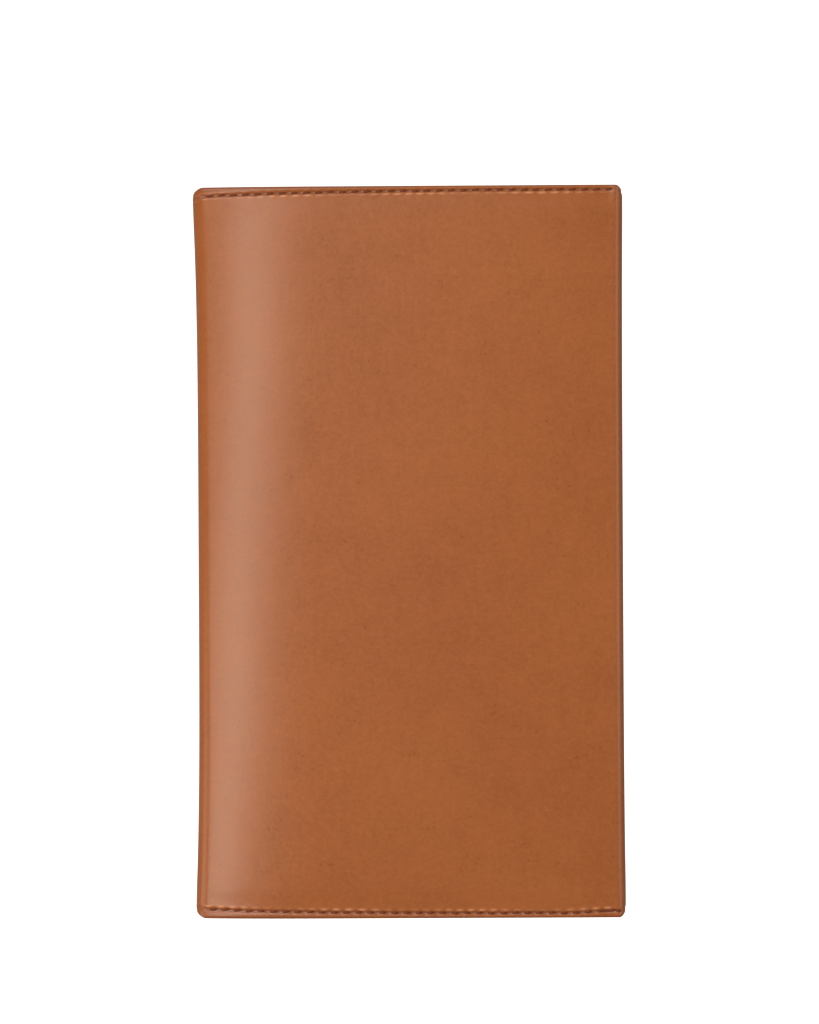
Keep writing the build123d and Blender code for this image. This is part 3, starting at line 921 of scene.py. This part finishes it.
def sewn_sheet(name, left, right, low, high, rise_at, thickness, materials, nodes, spacing):
    """A sheet that lies on the front sleeve. rise_at gives its back face's height over the sleeve."""
    heights = spaced(low, (high - 3.6 * MM, spacing), (high - 0.5 * MM, 0.35 * MM), (high, 0.25 * MM))
    runs = spaced(left, (left + 3 * MM, 0.5 * MM), (right - 3 * MM, 2.4 * MM), (right, 0.5 * MM))
    sheet, x, height = cut_sheet(name, runs, heights)
    rise = rise_at(x, height)
    move_points(sheet, np.stack([x, SLEEVE_FACE + rise + thickness, height], -1))
    face_outwards(sheet, True)
    thicken(sheet, thickness)
    finish_piece(sheet, materials)
    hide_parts(*nodes)
    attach(sheet, "front")
    return sheet


def slot_rise(opening):
    """Rise of a facing whose opening is at this height: steep behind its neighbour, then gentle."""
    steep = (SLOT_RISE - FOOT_RISE) / FACING
    gentle = (FOOT_RISE - (panel_low.y - SLEEVE_FACE)) / (panel_high.z - FACING - PANEL_BASE)

    def rise_at(x, height):
        below = opening - height
        rise = SLOT_RISE - steep * np.minimum(below, FACING) - gentle * np.clip(below - FACING, 0, None)
        crease = 0.1 * MM * np.exp(-(((below - CREASE_IN) / (0.4 * MM)) ** 2))
        return rise * side_press(x) - crease

    return rise_at


def make_slot(number):
    low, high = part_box(f"card_slot_{number}")
    sewn_sheet(f"card_facing_{number}", low.x, high.x, low.z, high.z, slot_rise(high.z), SLOT_LEATHER,
               [leather, burnished], [f"card_slot_{number}"], 2.2 * MM)
    low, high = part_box(f"card_slot_cloth_{number}")
    rise_at = slot_rise(high.z)
    cloth = sewn_sheet(f"slot_cloth_{number}", low.x, high.x, low.z, high.z,
                       lambda x, height: rise_at(x, height) - CLOTH_UNDER, SLOT_CLOTH, [nylon, nylon],
                       [f"card_slot_cloth_{number}"], 6 * MM)


for number in range(1, SLOT_COUNT + 1):
    make_slot(number)
print(SLOT_COUNT, "card slots")

# %% [markdown]
# ## Slip pocket
# The back half has one wide pocket. Its mouth dips in a thumb notch, and a creased line follows it.

# %% Slip pocket
pocket_low, pocket_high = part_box("slip_pocket")
NOTCH_DEPTH = 6.5 * MM
NOTCH_HALF = 12 * MM
NOTCH_CURVE = 1.35  # a half would be an ellipse and 1 a parabola, and more rounds the lips
MOUTH_ZONE = 14 * MM  # below the mouth, where the leather follows the notch
POCKET_LEATHER = 0.78 * MM


def pocket_mouth(x):
    """Height of the pocket's mouth: level, with a smooth dip in the middle."""
    across = np.clip(np.abs(x - (pocket_low.x + pocket_high.x) / 2) / NOTCH_HALF, 0, 1)
    return pocket_high.z - NOTCH_DEPTH * (1 - across**2) ** NOTCH_CURVE


def make_slip_pocket():
    runs = spaced(pocket_low.x, (pocket_low.x + 3 * MM, 0.5 * MM), (pocket_high.x - 3 * MM, 1.1 * MM),
                  (pocket_high.x, 0.5 * MM))
    heights = spaced(pocket_low.z, (pocket_high.z - MOUTH_ZONE, 3 * MM), (pocket_high.z - 4 * MM, 1.2 * MM),
                     (pocket_high.z, 0.35 * MM))
    pocket, x, height = cut_sheet("slip_pocket_leather", runs, heights)
    share = soft_step(height, pocket_high.z - MOUTH_ZONE, pocket_high.z - 3.8 * MM)
    settled = height - (pocket_high.z - pocket_mouth(x)) * share
    crease = 0.12 * MM * np.exp(-(((pocket_mouth(x) - settled - CREASE_IN) / (0.42 * MM)) ** 2))
    move_points(pocket, np.stack([x, pocket_low.y + crease, settled], -1))
    thicken(pocket, POCKET_LEATHER)
    finish_piece(pocket, [leather, burnished])
    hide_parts("slip_pocket")
    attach(pocket, "back")
    print(pocket.name, len(pocket.data.polygons), "faces")


make_slip_pocket()

# %% [markdown]
# ## Thread
# One stitch is modelled as a short two-ply cord whose ends dive into their holes. Copies are laid
# along each seam. Every stitch leans a little and no two lie quite alike, and at the fore edge the
# machine has gone back over its last stitches.

# %% One stitch
THREAD = 0.3 * MM
STITCH_LONG = 2.35 * MM
STITCH_DIVE = 0.42 * MM


def model_stitch():
    """Points (along, across, up) and faces of one stitch."""
    bpy.ops.object.select_all(action="DESELECT")
    along_x = (0, math.pi / 2, 0)
    bpy.ops.mesh.primitive_cylinder_add(vertices=8, radius=THREAD, depth=STITCH_LONG, rotation=along_x)
    master = active()
    bpy.ops.object.transform_apply(location=False, rotation=True, scale=False)
    deselect_mesh()
    for edge in master.data.edges:
        ends = [master.data.vertices[v].co.x for v in edge.vertices]
        edge.select = abs(ends[0] - ends[1]) > STITCH_LONG / 2
    bpy.ops.object.mode_set(mode="EDIT")
    bpy.ops.mesh.select_mode(type="EDGE")
    bpy.ops.mesh.subdivide(number_cuts=5)
    bpy.ops.object.mode_set(mode="OBJECT")
    shape = points(master)
    along = shape[:, 0] / (STITCH_LONG / 2)
    around = np.arctan2(shape[:, 2], shape[:, 1])
    swell = (1 + 0.13 * np.cos(2 * (around - 2.4 * along))) * (1 - 0.35 * along**4)
    shape[:, 1] *= swell
    shape[:, 2] = shape[:, 2] * swell * 0.85 - STITCH_DIVE * along**4
    faces = [list(face.vertices) for face in master.data.polygons]
    bpy.data.objects.remove(master)
    return shape, faces


stitch_shape, stitch_faces = model_stitch()
print("stitch", len(stitch_faces), "faces")

# %% [markdown]
# A row is one piece: copies of the stitch, each turned on the flat cut and then put, point by point,
# on the surface that it is sewn through. So a stitch bends with the fold that it crosses.

# %% Rows of stitches


def sew(name, stitches, slot_nodes):
    """One piece from many stitches. Each is (function from cut to place, run, height, turn)."""
    places, cuts, faces = [], [], []
    for put, run, height, turn in stitches:
        along = stitch_shape[:, 0] * math.cos(turn) - stitch_shape[:, 1] * math.sin(turn)
        across = stitch_shape[:, 0] * math.sin(turn) + stitch_shape[:, 1] * math.cos(turn)
        start = len(places) * len(stitch_shape)
        places.append(put(run + along, height + across, stitch_shape[:, 2]))
        cuts.append(np.stack([run + stitch_shape[:, 0], height + stitch_shape[:, 1]], -1))
        faces += [[v + start for v in face] for face in stitch_faces]
    mesh = bpy.data.meshes.new(name)
    mesh.from_pydata(np.concatenate(places).tolist(), [], faces)
    piece = bpy.data.objects.new(name, mesh)
    bpy.context.scene.collection.objects.link(piece)
    cut = np.concatenate(cuts)
    keep_cut(piece, cut[:, 0], cut[:, 1])
    bpy.context.view_layer.objects.active = piece
    piece.select_set(True)
    bpy.ops.object.mode_set(mode="EDIT")
    bpy.ops.mesh.select_all(action="SELECT")
    bpy.ops.mesh.normals_make_consistent(inside=False)
    bpy.ops.object.mode_set(mode="OBJECT")
    piece.select_set(False)
    finish_piece(piece, [thread])
    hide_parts(*slot_nodes)
    return piece


def on_strip(side):
    """Puts a stitch on the outside of the strip. The fold of the spine closes over the first ones."""
    def put(run, height, up):
        sunk = STITCH_DIVE * (1 - soft_step(run, 4.6 * MM, 5.6 * MM))
        return lie(side, run, height, sunk - seam_relief(run, height) - up)

    return put


def under_lining(side):
    """Puts a stitch on the lining, inside the spine."""
    return lambda run, height, up: lie(side, run, height, HEM_DEPTH + LINING + up)


def seam_stitches(side, chance):
    """The stitches of both seams of one half: outside, on the sleeve and on the lining by the spine."""
    stitches = []
    last = FOLD_RUN - 0.4 * MM
    first_on_sleeve = 2 * FOLD_RUN + math.pi * FOLD_RADIUS - last
    for top in (False, True):
        def row(put, runs, lean):
            for run in runs:
                inward = float(seam_in(run, top)) + chance.gauss(0, 0.05) * MM
                height = HEIGHT - inward if top else inward
                turn = math.radians(lean + chance.gauss(0, 2.5))
                stitches.append((put, run + chance.gauss(0, 0.05) * MM, height, turn))

        outside = np.arange(FIRST_STITCH, last, PITCH)
        row(on_strip(side), outside, 6)
        if not top:
            row(on_strip(side), outside[-2:] + 1.4 * MM, -8)
        row(on_strip(side), np.arange(first_on_sleeve + PITCH / 2, MOUTH_RUN - PITCH / 2, PITCH), 3)
        row(under_lining(side), np.arange(FIRST_STITCH, MOUTH_X - SPINE_X, PITCH), 3)
    return stitches


chance = random.Random(7)
for side, name in NAMES.items():
    nodes = [f"{name}_seam_thread", "spine_seam_thread"]
    seam_thread = sew(f"{name}_thread", seam_stitches(side, chance), nodes)
    bend_with_spine(seam_thread, side)
    print(seam_thread.name, len(seam_thread.data.polygons), "faces")

# %% [markdown]
# The panel of card slots and the slip pocket are sewn on along both sides and the foot.

# %% Panel stitches
THREAD_SUNK = 0.08 * MM
slot_openings = [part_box(f"card_slot_{number}")[1].z for number in range(1, SLOT_COUNT + 1)]


def panel_top(x, height):
    """How far the foremost facing stands over the sleeve."""
    top = 0
    for number, opening in enumerate(slot_openings, 1):
        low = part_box(f"card_slot_{number}")[0].z
        covers = (height <= opening) & (height >= low)
        top = np.maximum(top, np.where(covers, slot_rise(opening)(x, height) + SLOT_LEATHER, 0))
    return top


def on_slots(upright):
    def put(run, height, up):
        x, z = (height, run) if upright else (run, height)
        return np.stack([x, SLEEVE_FACE + panel_top(x, z) + up - THREAD_SUNK, z], -1)

    return put


def on_pocket(upright):
    def put(run, height, up):
        x, z = (height, run) if upright else (run, height)
        return np.stack([x, pocket_low.y - up + THREAD_SUNK, z], -1)

    return put


def panel_stitches(surface, top, chance):
    """Stitches up both sides and along the foot of a panel."""
    stitches = []
    base = PANEL_BASE + PANEL_SEAM
    for x in (PANEL_LEFT + PANEL_SEAM, PANEL_RIGHT - PANEL_SEAM):
        for z in np.arange(base + PITCH / 2, top - 1 * MM, PITCH):
            aside = x + chance.gauss(0, 0.04) * MM
            stitches.append((surface(True), z, aside, math.radians(chance.gauss(3, 2))))
    for x in np.arange(PANEL_LEFT + PANEL_SEAM + PITCH / 2, PANEL_RIGHT - PANEL_SEAM - PITCH / 3, PITCH):
        stitches.append((surface(False), x, base, math.radians(chance.gauss(3, 2))))
    return stitches


slot_stitches = panel_stitches(on_slots, slot_openings[-1], chance)
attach(sew("card_slots_thread", slot_stitches, ["card_slot_thread"]), "front")
pocket_stitches = panel_stitches(on_pocket, pocket_high.z, chance)
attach(sew("pocket_thread", pocket_stitches, ["slip_pocket_thread"]), "back")
print(len(slot_stitches), "stitches on the card slots,", len(pocket_stitches), "on the pocket")
